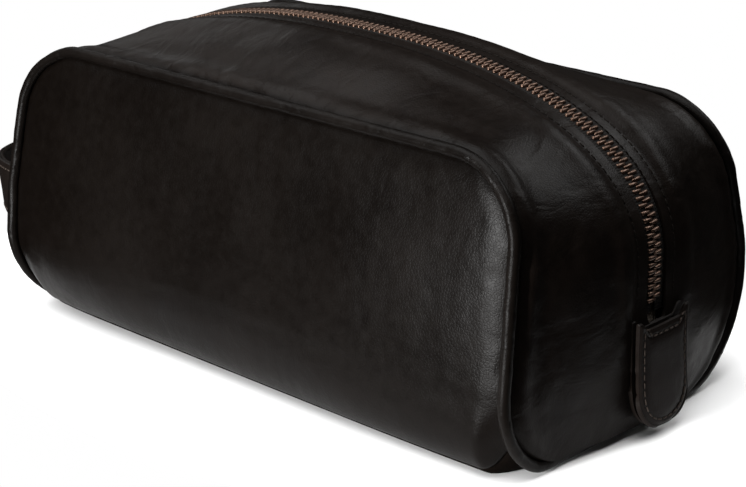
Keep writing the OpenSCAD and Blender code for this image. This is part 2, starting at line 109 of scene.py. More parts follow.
def corner_y(side):
    r = CORNER_R[side]
    return HALF_DEPTH - LEAN_Y * r - r * math.sqrt(1 + LEAN_Y * LEAN_Y)


def upright_foot(side):
    r = CORNER_R[side]
    return r + r * math.sin(LEAN_A)


def half_len(z):
    """Half of the bag's length at a height, out to the seam."""
    z = np.asarray(z, float)
    arc = TOP_X + np.sqrt(np.maximum(0, TOP_R ** 2 - (z - TOP_Z) ** 2))
    return np.where(z <= TOP_Z, HALF_BASE - LEAN_X * z, arc)


def seam_y(side, z, inset=0.0):
    """Distance from the middle to a side's seam, less an inset."""
    z = np.asarray(z, float)
    r = CORNER_R[side]
    arc = corner_y(side) + np.sqrt(np.maximum(0, (r - inset) ** 2 - (z - r) ** 2))
    return np.where(z < upright_foot(side), arc, HALF_DEPTH - LEAN_Y * z - inset)


def resample(points, n, ease=0.0):
    """n points along a polyline, evenly, or closer together near both ends as ease goes to 1."""
    points = np.asarray(points, float)
    run = np.concatenate([[0], np.cumsum(np.linalg.norm(np.diff(points, axis=0), axis=1))])
    u = np.linspace(0, 1, n)
    u = (1 - ease) * u + ease * (0.5 - 0.5 * np.cos(np.pi * u))
    return np.stack([np.interp(u * run[-1], run, points[:, k]) for k in range(points.shape[1])], 1)


def both_ends(half):
    """A path from the right end to the middle, and its mirror image down to the left end."""
    half = np.asarray(half, float)
    other = half[::-1].copy()
    other[:, 0] *= -1
    return np.concatenate([half, other[1:]])


def seam_outline(z0, inset=0.0):
    """Seam path [x, z] from height z0 at the right end, over the top, to z0 at the left end."""
    up = [(half_len(z) - inset, z) for z in np.linspace(z0, TOP_Z, 60)]
    r = TOP_R - inset
    turn = [(TOP_X + r * math.cos(a), TOP_Z + r * math.sin(a)) for a in np.linspace(0, math.pi / 2, 60)[1:]]
    return both_ends(up + turn + [(0, SEAM_H - inset)])


def end_bulge(z):
    """How far the middle of an end stands out from its seams, up to the foot of the zip."""
    low = np.maximum(0, SPLIT_Z - z) / SPLIT_Z
    return ZIP_X + ZIP_RECESS - half_len(z) - 3 * low ** 2


def zip_outline(z0, raise_by=0.0):
    """Path [x, z] of the middle of the zip's teeth, moved out by raise_by, from height z0 on each end."""
    low = [(half_len(z) + end_bulge(z) - ZIP_RECESS + raise_by, z) for z in np.linspace(z0, SPLIT_Z, 40)]
    up = [(ZIP_X + raise_by, z) for z in np.linspace(SPLIT_Z, ZIP_BEND_Z, 20)[1:]]
    turn = []
    for t in np.linspace(0, math.pi / 2, 240)[1:]:
        rise = CROWN_H - ZIP_BEND_Z + raise_by
        turn.append(((ZIP_X + raise_by) * max(0.0, math.cos(t)) ** (2 / ZIP_POWER),
                     ZIP_BEND_Z + rise * math.sin(t) ** (2 / ZIP_POWER)))
    return both_ends([p for p in low if p[1] < SPLIT_Z] + up + turn)


# ---- Meshes from grids of points ----

def smoothstep(x, a, b):
    t = np.clip((np.asarray(x, float) - a) / (b - a), 0, 1)
    return t * t * (3 - 2 * t)


def ripple(points, scale, seed=0.0, stretch=(1, 1, 1)):
    """Smooth noise from -1 to 1 over an array of points; scale is the size of its features in mm."""
    flat = points.reshape(-1, 3) * np.array(stretch) / scale + seed
    return np.array([noise.noise(Vector(p)) for p in flat]).reshape(points.shape[:-1]) * 1.6


def normals(grid, out):
    """Unit normals of a grid; out is a direction, or an array of them, that the normals lean towards."""
    n = np.cross(np.gradient(grid, axis=0), np.gradient(grid, axis=1))
    n /= np.maximum(np.linalg.norm(n, axis=-1, keepdims=True), 1e-12)
    flip = np.sign((n * np.asarray(out, float)).sum(-1, keepdims=True))
    flip[flip == 0] = 1
    return n * flip


def slump(p):
    """The whole bag settles: its lower left corner tucks in, its left end swells and its back seam droops."""
    p = np.array(p, float)
    x, y, z = p.T.copy()
    left_front = smoothstep(-x, 80, 124) * smoothstep(-y, 5, 55)
    droop = smoothstep(y, 14, 58) * smoothstep(z, 50, 98) * (0.35 + 0.65 * smoothstep(x, -70, 50))
    p[:, 0] += left_front * (12.0 * np.clip(1 - z / 36, 0, 1) ** 1.6
                             - 2.3 * smoothstep(z, 32, 52) * (1 - smoothstep(z, 92, 106)))
    p[:, 2] -= 4.8 * droop
    return p


def new_object(name, verts, faces, material, uv=None):
    verts = slump(verts)
    mesh = bpy.data.meshes.new(name)
    mesh.from_pydata([tuple(v) for v in np.asarray(verts, float) * MM], [], faces)
    if uv is not None:
        layer = mesh.uv_layers.new(name="run")
        loops = np.zeros(len(mesh.loops), int)
        mesh.loops.foreach_get("vertex_index", loops)
        layer.data.foreach_set("uv", (np.asarray(uv, float)[loops] * MM).ravel())
    mesh.shade_smooth()
    mesh.materials.append(material)
    obj = bpy.data.objects.new(name, mesh)
    bpy.context.scene.collection.objects.link(obj)
    return obj


def fix_winding(obj):
    """Makes every face of a closed mesh look outwards, and keeps its sharp edges crisp."""
    bm = bmesh.new()
    bm.from_mesh(obj.data)
    bmesh.ops.recalc_face_normals(bm, faces=bm.faces)
    bm.to_mesh(obj.data)
    bm.free()
    obj.data.set_sharp_from_angle(angle=SMOOTH_ANGLE)
    return obj


def run_lengths(grid):
    """Distances along and across a grid, for the weave of cloth."""
    along = np.zeros(grid.shape[:2])
    along[1:] = np.cumsum(np.linalg.norm(np.diff(grid, axis=0), axis=-1), axis=0)
    across = np.zeros(grid.shape[:2])
    across[:, 1:] = np.cumsum(np.linalg.norm(np.diff(grid, axis=1), axis=-1), axis=1)
    return np.stack([along, across], -1)


def sheet(name, grid, out, thickness, material, round_edge=0.5):
    """A closed sheet: the grid is its outer face, and its edges are rounded."""
    n = normals(grid, out)
    rows, cols = grid.shape[:2]
    inner = grid - n * thickness
    ring = [(r, 0) for r in range(rows - 1)] + [(rows - 1, c) for c in range(cols - 1)]
    ring += [(r, cols - 1) for r in range(rows - 1, 0, -1)] + [(0, c) for c in range(cols - 1, 0, -1)]
    middle = grid.mean((0, 1))
    rim = []
    for r, c in ring:
        r_in, c_in = min(max(r, 1), rows - 2), min(max(c, 1), cols - 2)
        away = grid[r, c] - grid[r_in, c_in]
        away -= n[r, c] * (away @ n[r, c])
        length = np.linalg.norm(away)
        away = away / length if length > 1e-9 else grid[r, c] - middle
        rim.append((grid[r, c] + inner[r, c]) / 2 + away * round_edge * thickness * 0.5)
    verts = np.concatenate([grid.reshape(-1, 3), inner.reshape(-1, 3), np.array(rim)])
    uv = run_lengths(grid).reshape(-1, 2)
    uv = np.concatenate([uv, uv, [run_lengths(grid)[r, c] for r, c in ring]])
    size = rows * cols
    faces = []
    for r in range(rows - 1):
        for c in range(cols - 1):
            k = r * cols + c
            quad = (k, k + 1, k + cols + 1, k + cols)
            faces += [quad, tuple(size + v for v in reversed(quad))]
    count = len(ring)
    for i, (r, c) in enumerate(ring):
        r2, c2 = ring[(i + 1) % count]
        a, b = r * cols + c, r2 * cols + c2
        m, m2 = 2 * size + i, 2 * size + (i + 1) % count
        faces += [(a, b, m2, m), (m, m2, b + size, a + size)]
    return fix_winding(new_object(name, verts, faces, material, uv))


def frames_along(path):
    """Tangents, and two directions across them that turn as little as they can."""
    t = np.gradient(path, axis=0)
    t /= np.maximum(np.linalg.norm(t, axis=1, keepdims=True), 1e-12)
    a = np.zeros_like(t)
    first = np.cross(t[0], [0.3, 0.5, 0.8])
    a[0] = first / np.linalg.norm(first)
    for i in range(1, len(t)):
        v = a[i - 1] - t[i] * (a[i - 1] @ t[i])
        a[i] = v / np.linalg.norm(v)
    return t, a, np.cross(t, a)


def tube(name, path, radius, material, sides=14, bore=0.0):
    """A round tube along a path; radius is a number or one for each ring and side."""
    path = np.asarray(path, float)
    n = len(path)
    t, a, b = frames_along(path)
    angle = 2 * np.pi * np.arange(sides) / sides
    wheel = a[:, None] * np.cos(angle)[None, :, None] + b[:, None] * np.sin(angle)[None, :, None]
    radius = np.broadcast_to(np.asarray(radius, float), (n, sides)) if np.ndim(radius) else radius
    scale = radius[..., None] if np.ndim(radius) else radius
    outer = path[:, None] + wheel * scale
    walls = [outer.reshape(-1, 3)]
    faces = []
    for i in range(n - 1):
        for k in range(sides):
            p, q = i * sides + k, i * sides + (k + 1) % sides
            faces.append((p, q, q + sides, p + sides))
    size = n * sides
    last = (n - 1) * sides
    if bore:
        walls.append((path[:, None] + wheel * bore).reshape(-1, 3))
        faces += [tuple(size + v for v in reversed(f)) for f in list(faces)]
        for k in range(sides):
            q = (k + 1) % sides
            faces += [(q, k, size + k, size + q), (last + k, last + q, last + size + q, last + size + k)]
    else:
        faces += [tuple(range(sides))[::-1], tuple(last + k for k in range(sides))]
    u = np.concatenate([[0], np.cumsum(np.linalg.norm(np.diff(path, axis=0), axis=1))])
    uv = np.stack(np.broadcast_arrays(u[:, None], angle[None] * 2), -1).reshape(-1, 2)
    uv = np.concatenate([uv] * len(walls))
    return fix_winding(new_object(name, np.concatenate(walls), faces, material, uv))


def copies(name, shape, faces, places, material):
    """One mesh of many copies of a small shape; each place is (origin, 3 x 3 columns)."""
    verts, all_faces = [], []
    for origin, axes in places:
        base = len(verts) * len(shape)
        verts.append(shape @ np.asarray(axes, float).T + origin)
        all_faces += [tuple(base + v for v in f) for f in faces]
    return fix_winding(new_object(name, np.concatenate(verts), all_faces, material))


def lathe_bar(stations, sides=8, square=0.35):
    """A closed bar along x from stations (x, half width y, half height z), with rounded corners."""
    verts, faces = [], []
    for x, y, z in stations:
        for k in range(sides):
            a = 2 * math.pi * (k + 0.5) / sides
            c, s = math.cos(a), math.sin(a)
            g = (abs(c) ** (2 / square) + abs(s) ** (2 / square)) ** (-square / 2)
            verts.append((x, y * c * g, z * s * g))
    for i in range(len(stations) - 1):
        for k in range(sides):
            p, q = i * sides + k, i * sides + (k + 1) % sides
            faces.append((p, q, q + sides, p + sides))
    last = (len(stations) - 1) * sides
    faces += [tuple(range(sides))[::-1], tuple(last + k for k in range(sides))]
    return np.array(verts), faces


# ---- Materials ----

class Nodes:
    """Short ways to add and join shader nodes in one material."""

    def __init__(self, name):
        self.mat = bpy.data.materials.new(name)
        self.mat.use_nodes = True
        self.tree = self.mat.node_tree
        self.bsdf = self.tree.nodes["Principled BSDF"]

    def add(self, kind, **values):
        node = self.tree.nodes.new("ShaderNode" + kind)
        for key, value in values.items():
            setattr(node, key, value)
        return node

    def link(self, source, target):
        self.tree.links.new(source, target)

    def coord(self, output="Object", scale=(1, 1, 1)):
        mapping = self.add("Mapping")
        mapping.inputs["Scale"].default_value = scale
        self.link(self.add("TexCoord").outputs[output], mapping.inputs["Vector"])
        return mapping.outputs["Vector"]

    def noise(self, vector, scale, detail=4.0, rough=0.55, warp=0.0):
        node = self.add("TexNoise")
        node.inputs["Scale"].default_value = scale
        node.inputs["Detail"].default_value = detail
        node.inputs["Roughness"].default_value = rough
        node.inputs["Distortion"].default_value = warp
        self.link(vector, node.inputs["Vector"])
        return node.outputs["Fac"]

    def cells(self, vector, scale, feature="DISTANCE_TO_EDGE"):
        node = self.add("TexVoronoi", feature=feature)
        node.inputs["Scale"].default_value = scale
        self.link(vector, node.inputs["Vector"])
        return node.outputs["Distance"]

    def remap(self, value, low, high, to_low=0.0, to_high=1.0):
        node = self.add("MapRange", interpolation_type="SMOOTHSTEP")
        for key, number in zip(("From Min", "From Max", "To Min", "To Max"), (low, high, to_low, to_high)):
            node.inputs[key].default_value = number
        self.link(value, node.inputs["Value"])
        return node.outputs["Result"]

    def math(self, kind, a, b):
        node = self.add("Math", operation=kind)
        for socket, value in zip(node.inputs, (a, b)):
            if isinstance(value, (int, float)):
                socket.default_value = value
            else:
                self.link(value, socket)
        return node.outputs["Value"]

    def ramp(self, value, *stops):
        node = self.add("ValToRGB")
        elements = node.color_ramp.elements
        while len(elements) < len(stops):
            elements.new(0.5)
        for element, (place, color) in zip(elements, stops):
            element.position = place
            element.color = (*color, 1)
        self.link(value, node.inputs["Fac"])
        return node.outputs["Color"]

    def bump(self, *layers):
        """Bump layers of (height, strength, distance in metres), the broadest first."""
        normal = None
        for height, strength, distance in layers:
            node = self.add("Bump")
            node.inputs["Strength"].default_value = strength
            node.inputs["Distance"].default_value = distance
            self.link(height, node.inputs["Height"])
            if normal:
                self.link(normal, node.inputs["Normal"])
            normal = node.outputs["Normal"]
        self.link(normal, self.bsdf.inputs["Normal"])

    def set(self, **values):
        for key, value in values.items():
            socket = self.bsdf.inputs[key.replace("_", " ")]
            if isinstance(value, (int, float, tuple)):
                socket.default_value = value
            else:
                self.link(value, socket)
        return self.mat


def leather(name, dark, light, rough=(0.32, 0.43), grain=900.0, wrinkle=0.3, gloss=0.05, stretch=(1, 1, 1)):
    """Waxed leather: pores, creases, uneven colour, and shinier where it has been rubbed."""
    n = Nodes(name)
    place = n.coord()
    long_way = n.coord(scale=stretch)
    tone = n.noise(place, 22, 5, 0.6)
    fine = n.noise(place, 260, 4, 0.6)
    pores = n.remap(n.cells(place, grain), 0.0, 0.22)
    creases = n.remap(n.noise(long_way, 70, 3, 0.5, 0.6), 0.38, 0.62)
    blotch = n.math("ADD", n.math("MULTIPLY", tone, 0.7), n.math("MULTIPLY", fine, 0.3))
    color = n.ramp(blotch, (0.3, dark), (0.72, light))
    rubbed = n.math("ADD", n.math("MULTIPLY", tone, 0.6), n.math("MULTIPLY", fine, 0.4))
    n.bump((creases, wrinkle, 0.0006), (fine, 0.2, 0.00025), (pores, 0.2, 0.00012))
    return n.set(Base_Color=color, Roughness=n.remap(rubbed, 0.35, 0.65, *rough), Specular_IOR_Level=gloss)


def cloth(name, dark, light, pitch=0.0009, rough=0.85, rib=False, sheen=0.2):
    """Woven cloth, or ribbed tape, in the mesh's own along-and-across coordinates in metres."""
    n = Nodes(name)
    turn = 2 * math.pi / pitch
    run = n.coord("UV", (turn, turn, 1))
    split = n.add("SeparateXYZ")
    n.link(run, split.inputs[0])
    warp = n.math("SINE", split.outputs["X"], 0.0)
    weft = n.math("SINE", split.outputs["Y"], 0.0)
    height = warp if rib else n.math("MULTIPLY", warp, weft)
    if rib:
        height = n.math("ADD", height, n.math("MULTIPLY", weft, 0.35))
    tone = n.noise(n.coord(), 60, 4, 0.6)
    color = n.ramp(n.math("ADD", n.math("MULTIPLY", height, 0.14), tone), (0.3, dark), (0.75, light))
    n.bump((height, 0.5, 0.00018), (n.noise(n.coord(), 900, 3), 0.2, 0.0001))
    return n.set(Base_Color=color, Roughness=rough, Sheen_Weight=sheen, Sheen_Roughness=0.5,
                 Specular_IOR_Level=0.1 + sheen)


def metal(name, dark, light, rough=(0.3, 0.48), wear=60.0):
    """Antiqued metal: brown in the hollows and brighter where it has been rubbed."""
    n = Nodes(name)
    place = n.coord()
    tone = n.noise(place, wear * 4, 5, 0.6)
    edge = n.add("NewGeometry").outputs["Pointiness"]
    bright = n.math("ADD", n.remap(edge, 0.47, 0.56), n.math("MULTIPLY", tone, 0.5))
    color = n.ramp(bright, (0.25, dark), (0.9, light))
    n.bump((tone, 0.2, 0.0001))
    return n.set(Base_Color=color, Metallic=0.9, Roughness=n.remap(tone, 0.35, 0.65, *rough))


def thread(name, dark, light, gloss=0.1):
    n = Nodes(name)
    place = n.coord()
    twist = n.noise(place, 1500, 2, 0.5)
    n.bump((twist, 0.5, 0.0001))
    return n.set(Base_Color=n.ramp(twist, (0.3, dark), (0.7, light)), Roughness=0.7, Specular_IOR_Level=gloss)


def board(name):
    n = Nodes(name)
    fibre = n.noise(n.coord(scale=(1, 4, 1)), 300, 5, 0.7)
    n.bump((fibre, 0.3, 0.0002))
    return n.set(Base_Color=n.ramp(fibre, (0.3, (0.16, 0.1, 0.06)), (0.75, (0.3, 0.2, 0.12))), Roughness=0.9)


BAG_DARK, BAG_LIGHT = (0.0012, 0.0008, 0.0006), (0.003, 0.0021, 0.0016)
M_LEATHER = leather("bag_leather", BAG_DARK, BAG_LIGHT, wrinkle=0.1)
M_BASE = leather("base_leather", BAG_DARK, BAG_LIGHT, rough=(0.55, 0.7), gloss=0.01)
# The gusset is a lighter copy of the bag's leather: painted sheen, standing in for the light that falls on
# the top of the bag
M_GUSSET_PAINTED_SHEEN = leather("gusset_leather", (0.0022, 0.0015, 0.0012), (0.0065, 0.0047, 0.0038),
                   stretch=(1, 0.6, 1))
M_PIPING = leather("piping_leather", (0.0016, 0.0012, 0.001), (0.0045, 0.0034, 0.0028),
                   grain=1400.0, wrinkle=0.45)
M_TAB = leather("tab_leather", (0.003, 0.0022, 0.0018), (0.0075, 0.0054, 0.0044),
                rough=(0.4, 0.55), wrinkle=0.15)
M_LINING = cloth("lining_cloth", (0.11, 0.085, 0.06), (0.25, 0.2, 0.145))
M_TAPE = cloth("zip_tape_cloth", (0.0022, 0.0017, 0.0014), (0.007, 0.0055, 0.0045),
               pitch=0.0011, rib=True, sheen=0.02)
M_TEETH = metal("teeth_metal", (0.01, 0.006, 0.004), (0.085, 0.052, 0.037), (0.3, 0.45))
M_METAL = metal("slider_copper", (0.02, 0.01, 0.007), (0.2, 0.11, 0.075))
M_CORD = thread("piping_cord_fibre", (0.35, 0.3, 0.23), (0.6, 0.54, 0.44), 0.3)
M_THREAD = thread("black_thread", (0.002, 0.0015, 0.001), (0.008, 0.006, 0.005), 0.05)
M_TAB_THREAD = thread("tab_thread", (0.012, 0.009, 0.007), (0.04, 0.03, 0.024))
M_BOARD = board("stiffener_board")

# ---- Placing pieces: baked in place, or parented to a body, and hiding the CAD parts they stand for ----

SIDE_NAME = {FRONT: "front", BACK: "back"}


def on_half(obj, side, slot, *stands_for):
    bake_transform(obj)
    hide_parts(*stands_for)
    return obj


def on_body(obj, body, slot, *stands_for):
    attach(obj, body)
    if stands_for:
        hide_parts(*stands_for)
    return obj


# ---- Front and back panels ----

def panel_half(z, inset):
    r = TOP_R - inset
    arc = TOP_X + np.sqrt(np.maximum(0, r * r - (z - TOP_Z) ** 2))
    return np.where(z <= TOP_Z, half_len(z) - inset, arc)


def bulge(z, c):
    lift = np.sin(np.pi * np.clip(z / SEAM_H, 0, 1)) ** 0.8
    fuller = np.where(np.asarray(c) < 0, 10.0, 4.0)
    return PANEL_BULGE * (1 - np.abs(c) ** fuller) * lift


def end_hook(c):
    """The seam with the base turns up by this angle where it meets the piping at each end."""
    return 9.0 * smoothstep(np.abs(c), 0.93, 1.0)


def upright(z):
    return HALF_DEPTH - LEAN_Y * z, z, np.full_like(z, LEAN_A)


def corner(side, a):
    r = CORNER_R[side]
    return corner_y(side) + r * np.cos(a), r + r * np.sin(a), a


def wrap_rows(side, top_inset, last_angle, z_low=None, counts=(22, 26, 22)):
    """Rows of [distance from the middle, height, outward angle] from the top seam down round the corner."""
    z_top = SEAM_H - top_inset
    z = np.concatenate([
        z_top - (1 - np.cos(np.linspace(0, np.pi / 2, counts[0]))) * (z_top - TOP_Z),
        np.linspace(TOP_Z, max(upright_foot(side), z_low or 0), counts[1])[1:]])
    rows = np.stack(upright(z), -1)
    if last_angle is not None:
        a = np.linspace(LEAN_A, math.radians(last_angle), counts[2])[1:]
        rows = np.concatenate([rows, np.stack(corner(side, a), -1)])
    return rows


def belly(side, a, c):
    """The front panel slumps on the floor: it swells beyond its seams low down, most towards the right."""
    if side == BACK:
        return 0.0 * a
    round_corner = smoothstep(-a, math.radians(-5), math.radians(44)) * (1 - smoothstep(-a, 1.0, math.pi / 2))
    along = 1 - smoothstep(np.abs(c), 0.91, 1.0)
    return 7.6 * round_corner * along * (0.72 + 0.28 * c)


def soft_floor(z, lowest, ease=1.5):
    d = z - lowest
    return lowest + (d + np.sqrt(d * d + ease * ease)) / 2


def wrap_grid(side, rows, c, inset, depth):
    """Points of the wrap for rows (per column or shared), positions c along the bag and a depth below it."""
    if rows.ndim == 2:
        rows = np.repeat(rows[:, None], len(c), axis=1)
    y, z, a = rows[..., 0], rows[..., 1], rows[..., 2]
    out = bulge(z, c[None]) + belly(side, a, c[None]) - depth
    x = c[None] * panel_half(z, inset)
    z = z + out * np.sin(a)
    return np.stack([x, side * (y + out * np.cos(a)), soft_floor(z, 0.02, 1.0)], -1)


def spaced(n, ease=0.6):
    u = np.linspace(-1, 1, n)
    return (1 - ease) * u + ease * np.sin(u * np.pi / 2)


def edge_roll(distance, width=2.2, drop=1.1):
    """Leather turning down into a seam: how deep it is at a distance from the seam's edge."""
    t = np.clip(distance / width, 0, 1)
    return drop * (1 - t) ** 2


def puckers(points, distance, reach=9.0, size=0.28, seed=0.0):
    """Small folds where stitches draw the leather in near a seam."""
    return size * np.exp(-np.maximum(distance, 0) / reach) * ripple(points, 4.6, seed)


def panel_leather(side):
    seam = -SEAM_ANGLE[side]
    c = spaced(170)
    rows = wrap_rows(side, TUCK, seam, counts=(26, 32, 26))
    rows = np.repeat(rows[:, None], len(c), axis=1)
    on_corner = rows[:, 0, 2] < LEAN_A - 1e-9
    share = (LEAN_A - rows[on_corner, :, 2]) / (LEAN_A - math.radians(seam))
    a = LEAN_A - share * (LEAN_A - math.radians(seam) - np.radians(end_hook(c))[None])
    rows[on_corner] = np.stack(corner(side, a), -1)
    flat = wrap_grid(side, rows, c, TUCK, 0.0)
    x, z = flat[..., 0], flat[..., 2]
    from_end = panel_half(rows[..., 1], TUCK) - np.abs(x)
    from_top = SEAM_H - TUCK - z
    bottom = np.cumsum(np.linalg.norm(np.diff(flat[::-1], axis=0), axis=-1), axis=0)[::-1]
    from_base = np.concatenate([bottom, np.zeros((1, len(c)))])
    near = np.minimum(from_end, from_top)
    left = smoothstep(-x, 60, 110)
    depth = edge_roll(near - 0.8, 9.0 - 4.0 * left, 1.5 - 0.6 * left) + edge_roll(from_base, 1.8, 1.3)
    soft = smoothstep(near, 0, 25) * smoothstep(from_base, 0, 18)
    shade = ripple(flat, 55, side * 7.3, (1, 1, 0.8)) * 0.9 + ripple(flat, 21, 3.1, (1.3, 1, 0.5)) * 0.16
    depth = depth - shade * soft + puckers(flat, near, size=0.14, seed=side)
    depth -= 0.035 * ripple(flat, 6.5, 11.0, (1.6, 1, 0.35)) * smoothstep(near, 2, 14)
    grid = wrap_grid(side, rows, c, TUCK, depth)
    out = np.stack([np.zeros_like(z), side * np.cos(rows[..., 2]), np.sin(rows[..., 2])], -1)
    name = SIDE_NAME[side]
    piece = sheet(name + "_panel_leather", grid, out, LEATHER_T, M_LEATHER)
    return on_half(piece, side, "leather", name + "_panel", name + "_panel_foot")


for side in (FRONT, BACK):
    panel_leather(side)


def base_leather():
    """The base turns up at the front and back to seams that the panels meet."""
    c = spaced(90)
    ends = {}
    for side in (FRONT, BACK):
        stop = np.radians(-SEAM_ANGLE[side] + end_hook(c) - 0.6)
        share = np.linspace(0, 1, 18)[:, None]
        a = stop[None] + (-np.pi / 2 - stop[None]) * share
        rows = np.stack(corner(side, a), -1)
        ends[side] = wrap_grid(side, rows, c, TUCK, 0.0)
    start, stop = ends[FRONT][-1], ends[BACK][-1]
    share = np.linspace(0, 1, 24)[1:-1, None, None]
    flat = start[None] * (1 - share) + stop[None] * share
    grid = np.concatenate([ends[FRONT], flat, ends[BACK][::-1]])
    run = run_lengths(grid)[..., 0]
    from_seam = np.minimum(run, run[-1:] - run)
    from_end = panel_half(grid[..., 2], TUCK) - np.abs(grid[..., 0])
    middle = np.array([0, (start[0, 1] + stop[0, 1]) / 2, 30.0])
    out = grid - middle
    out[..., 0] = 0
    n = normals(grid, out)
    depth = edge_roll(from_seam, 1.8, 1.3) + edge_roll(from_end - 0.8, 3.0, 0.9)
    depth += puckers(grid, from_end, seed=2.0) * 0.6
    grid = grid - n * depth[..., None]
    grid[..., 2] = np.maximum(grid[..., 2], 0.02)
    return on_body(sheet("base_leather", grid, out, LEATHER_T, M_BASE), "root", "leather", "base_panel")


base_leather()

# ---- Gusset: the strip over the top and down both ends, in two halves beside the zip ----

FOOT_Z = 3.4
LIP_Y = 5.5                                    # the leather lips beside the zip just clear the slider
GUSSET_ROWS = 300
GUSSET_T = 1.35
STITCH_Y = 10.2                                # the line of stitches beside the zip
CREST_Y = 17.5                                 # the leather stands highest here, beside the zip
# Soft hollows (+) and swells (-) in the top, in front of the zip: x, y, half lengths and size
TOP_FOLDS = ((34, 47, 34, 11, 1.5), (66, 40, 16, 9, -0.9), (-10, 36, 26, 12, -0.6), (-60, 46, 30, 10, 0.9))


class Gusset:
    """Surface between a side's seam and the zip's line, over a run from the right foot to the left one."""

    def __init__(self, side, rows=GUSSET_ROWS, z0=FOOT_Z, inset=TUCK):
        self.side = side
        self.seam = resample(seam_outline(z0), rows)
        self.crest = resample(zip_outline(z0, ZIP_RECESS), rows)
        self.wide = seam_y(side, self.seam[:, 1], inset)

    def at(self, y):
        """Points at distances y from the middle; y has a row for each step along the run."""
        share = 1 - np.clip(y / self.wide[:, None], 0, 1) ** 2
        flat = self.seam[:, None] + (self.crest - self.seam)[:, None] * share[..., None]
        return np.stack([flat[..., 0], self.side * y, flat[..., 1]], -1)


def gusset_out(grid):
    """Outward direction: away from the core of the bag."""
    core = np.stack([np.clip(grid[..., 0], -85, 85), 0 * grid[..., 1], np.minimum(grid[..., 2], 55)], -1)
    return grid - core


def gusset_leather(side):
    g = Gusset(side)
    crest_z = g.crest[:, 1]
    inner = LIP_Y * smoothstep(crest_z, 35, 44)
    share = np.linspace(0, 1, 46)
    share = 0.75 * share + 0.25 * (0.5 - 0.5 * np.cos(np.pi * share))
    y = inner[:, None] + (g.wide - inner)[:, None] * share[None]
    flat = g.at(y)
    n = normals(flat, gusset_out(flat))
    from_seam = (g.wide[:, None] - y) * 1.15
    over_top = smoothstep(crest_z, 50, 100)[:, None]
    beside_zip = smoothstep(crest_z, 38, 50)[:, None]
    depth = edge_roll(from_seam - 0.6, 3.2, 1.0) - 1.1 * np.exp(-((from_seam - 6.5) / 4.0) ** 2)
    band = 1 - smoothstep(y, 11.2, 14.8)
    depth += beside_zip * (0.85 * band - 0.7 * np.exp(-((y - CREST_Y) / 4.0) ** 2))
    if side == FRONT:
        for x0, y0, wide_x, wide_y, size in TOP_FOLDS:
            depth += size * np.exp(-((flat[..., 0] - x0) / wide_x) ** 2 - ((y - y0) / wide_y) ** 2) * over_top
    stitch = np.exp(-((y - STITCH_Y) / 0.9) ** 2) * beside_zip
    depth += 0.25 * stitch
    soft = smoothstep(from_seam, 0, 18) * smoothstep(y, 13, 26)
    depth -= ripple(flat, 34, side * 4.7) * 0.9 * soft * (0.5 + 0.5 * over_top)
    depth -= ripple(flat, 13, side * 2.9, (0.7, 1.2, 1)) * 0.22 * smoothstep(y, 13, 22)
    depth += puckers(flat, from_seam, seed=side * 5.0)
    depth += 0.16 * ripple(flat, 4.2, 9.0, (1.4, 0.5, 1.4)) * smoothstep(y, 12, 15) * np.exp(-(y - 13) / 10)
    grid = flat - n * depth[..., None]
    name = SIDE_NAME[side]
    piece = sheet(f"gusset_{name}_leather", grid, gusset_out(grid), GUSSET_T, M_GUSSET_PAINTED_SHEEN)
    on_half(piece, side, "leather", "gusset_" + name, "gusset_foot_right", "gusset_foot_left")
    return g


def surface_frames(g, y, spacing, drop=0.0, z_stop=40.0):
    """Evenly spaced places along the gusset at distance y: (point, axes along, across and up)."""
    line = g.at(np.full((len(g.wide), 1), y))
    beside = g.at(np.full((len(g.wide), 1), y + 0.5))
    step = np.gradient(line[:, 0], axis=0)
    across = beside[:, 0] - line[:, 0]
    up = np.cross(step, across)
    up *= np.sign((up * gusset_out(line[:, 0])).sum(-1, keepdims=True))
    keep = np.nonzero(g.crest[:, 1] > z_stop)[0]
    line, step, across, up = (v[keep] for v in (line[:, 0], step, across, up))
    run = np.concatenate([[0], np.cumsum(np.linalg.norm(np.diff(line, axis=0), axis=1))])
    places = []
    for s in np.arange(spacing / 2, run[-1], spacing):
        pick = [np.array([np.interp(s, run, v[:, k]) for k in range(3)]) for v in (line, step, up)]
        t = pick[1] / np.linalg.norm(pick[1])
        u = pick[2] - t * (pick[2] @ t)
        u /= np.linalg.norm(u)
        places.append((pick[0] - u * drop, np.stack([t, np.cross(u, t), u], 1)))
    return places


STITCH_BAR, STITCH_FACES = lathe_bar([
    (-1.15, 0.1, 0.1), (-1.0, 0.24, 0.22), (-0.5, 0.31, 0.3),
    (0.5, 0.31, 0.3), (1.0, 0.24, 0.22), (1.15, 0.1, 0.1)])

for side in (FRONT, BACK):
    g = gusset_leather(side)
    places = surface_frames(g, STITCH_Y, 3.0, drop=1.0, z_stop=45.0)
    piece = copies(f"zip_stitches_{SIDE_NAME[side]}", STITCH_BAR, STITCH_FACES, places, M_THREAD)
    on_half(piece, side, "leather")

# ---- Piping round each side: up one end, over the top, down the other and under both ends ----

PIPING_MEET_Y = -10.0                          # the two pipings meet here, under each end
PIPING_SIDES, PIPING_BORE, CORD_R = 16, 1.45, 1.3


def piping_path(side):
    r = CORNER_R[side]
    a = np.linspace(-math.pi / 2, LEAN_A, 34)
    z = soft_floor(r + r * np.sin(a), PIPING_R + 0.02)
    y = corner_y(side) + r * np.cos(a)
    flat_y = np.linspace(side * PIPING_MEET_Y, corner_y(side), 16)[:-1]
    foot = [(float(half_len(z[0])), side * v, z[0]) for v in flat_y]
    foot += [(float(half_len(w)), side * v, w) for v, w in zip(y, z)]
    top = seam_outline(z[-1] + 1.5)
    right = top[:len(top) // 2 + 1]
    foot += [(p[0], side * float(seam_y(side, p[1])), p[1]) for p in right]
    return resample(both_ends(foot), 420)


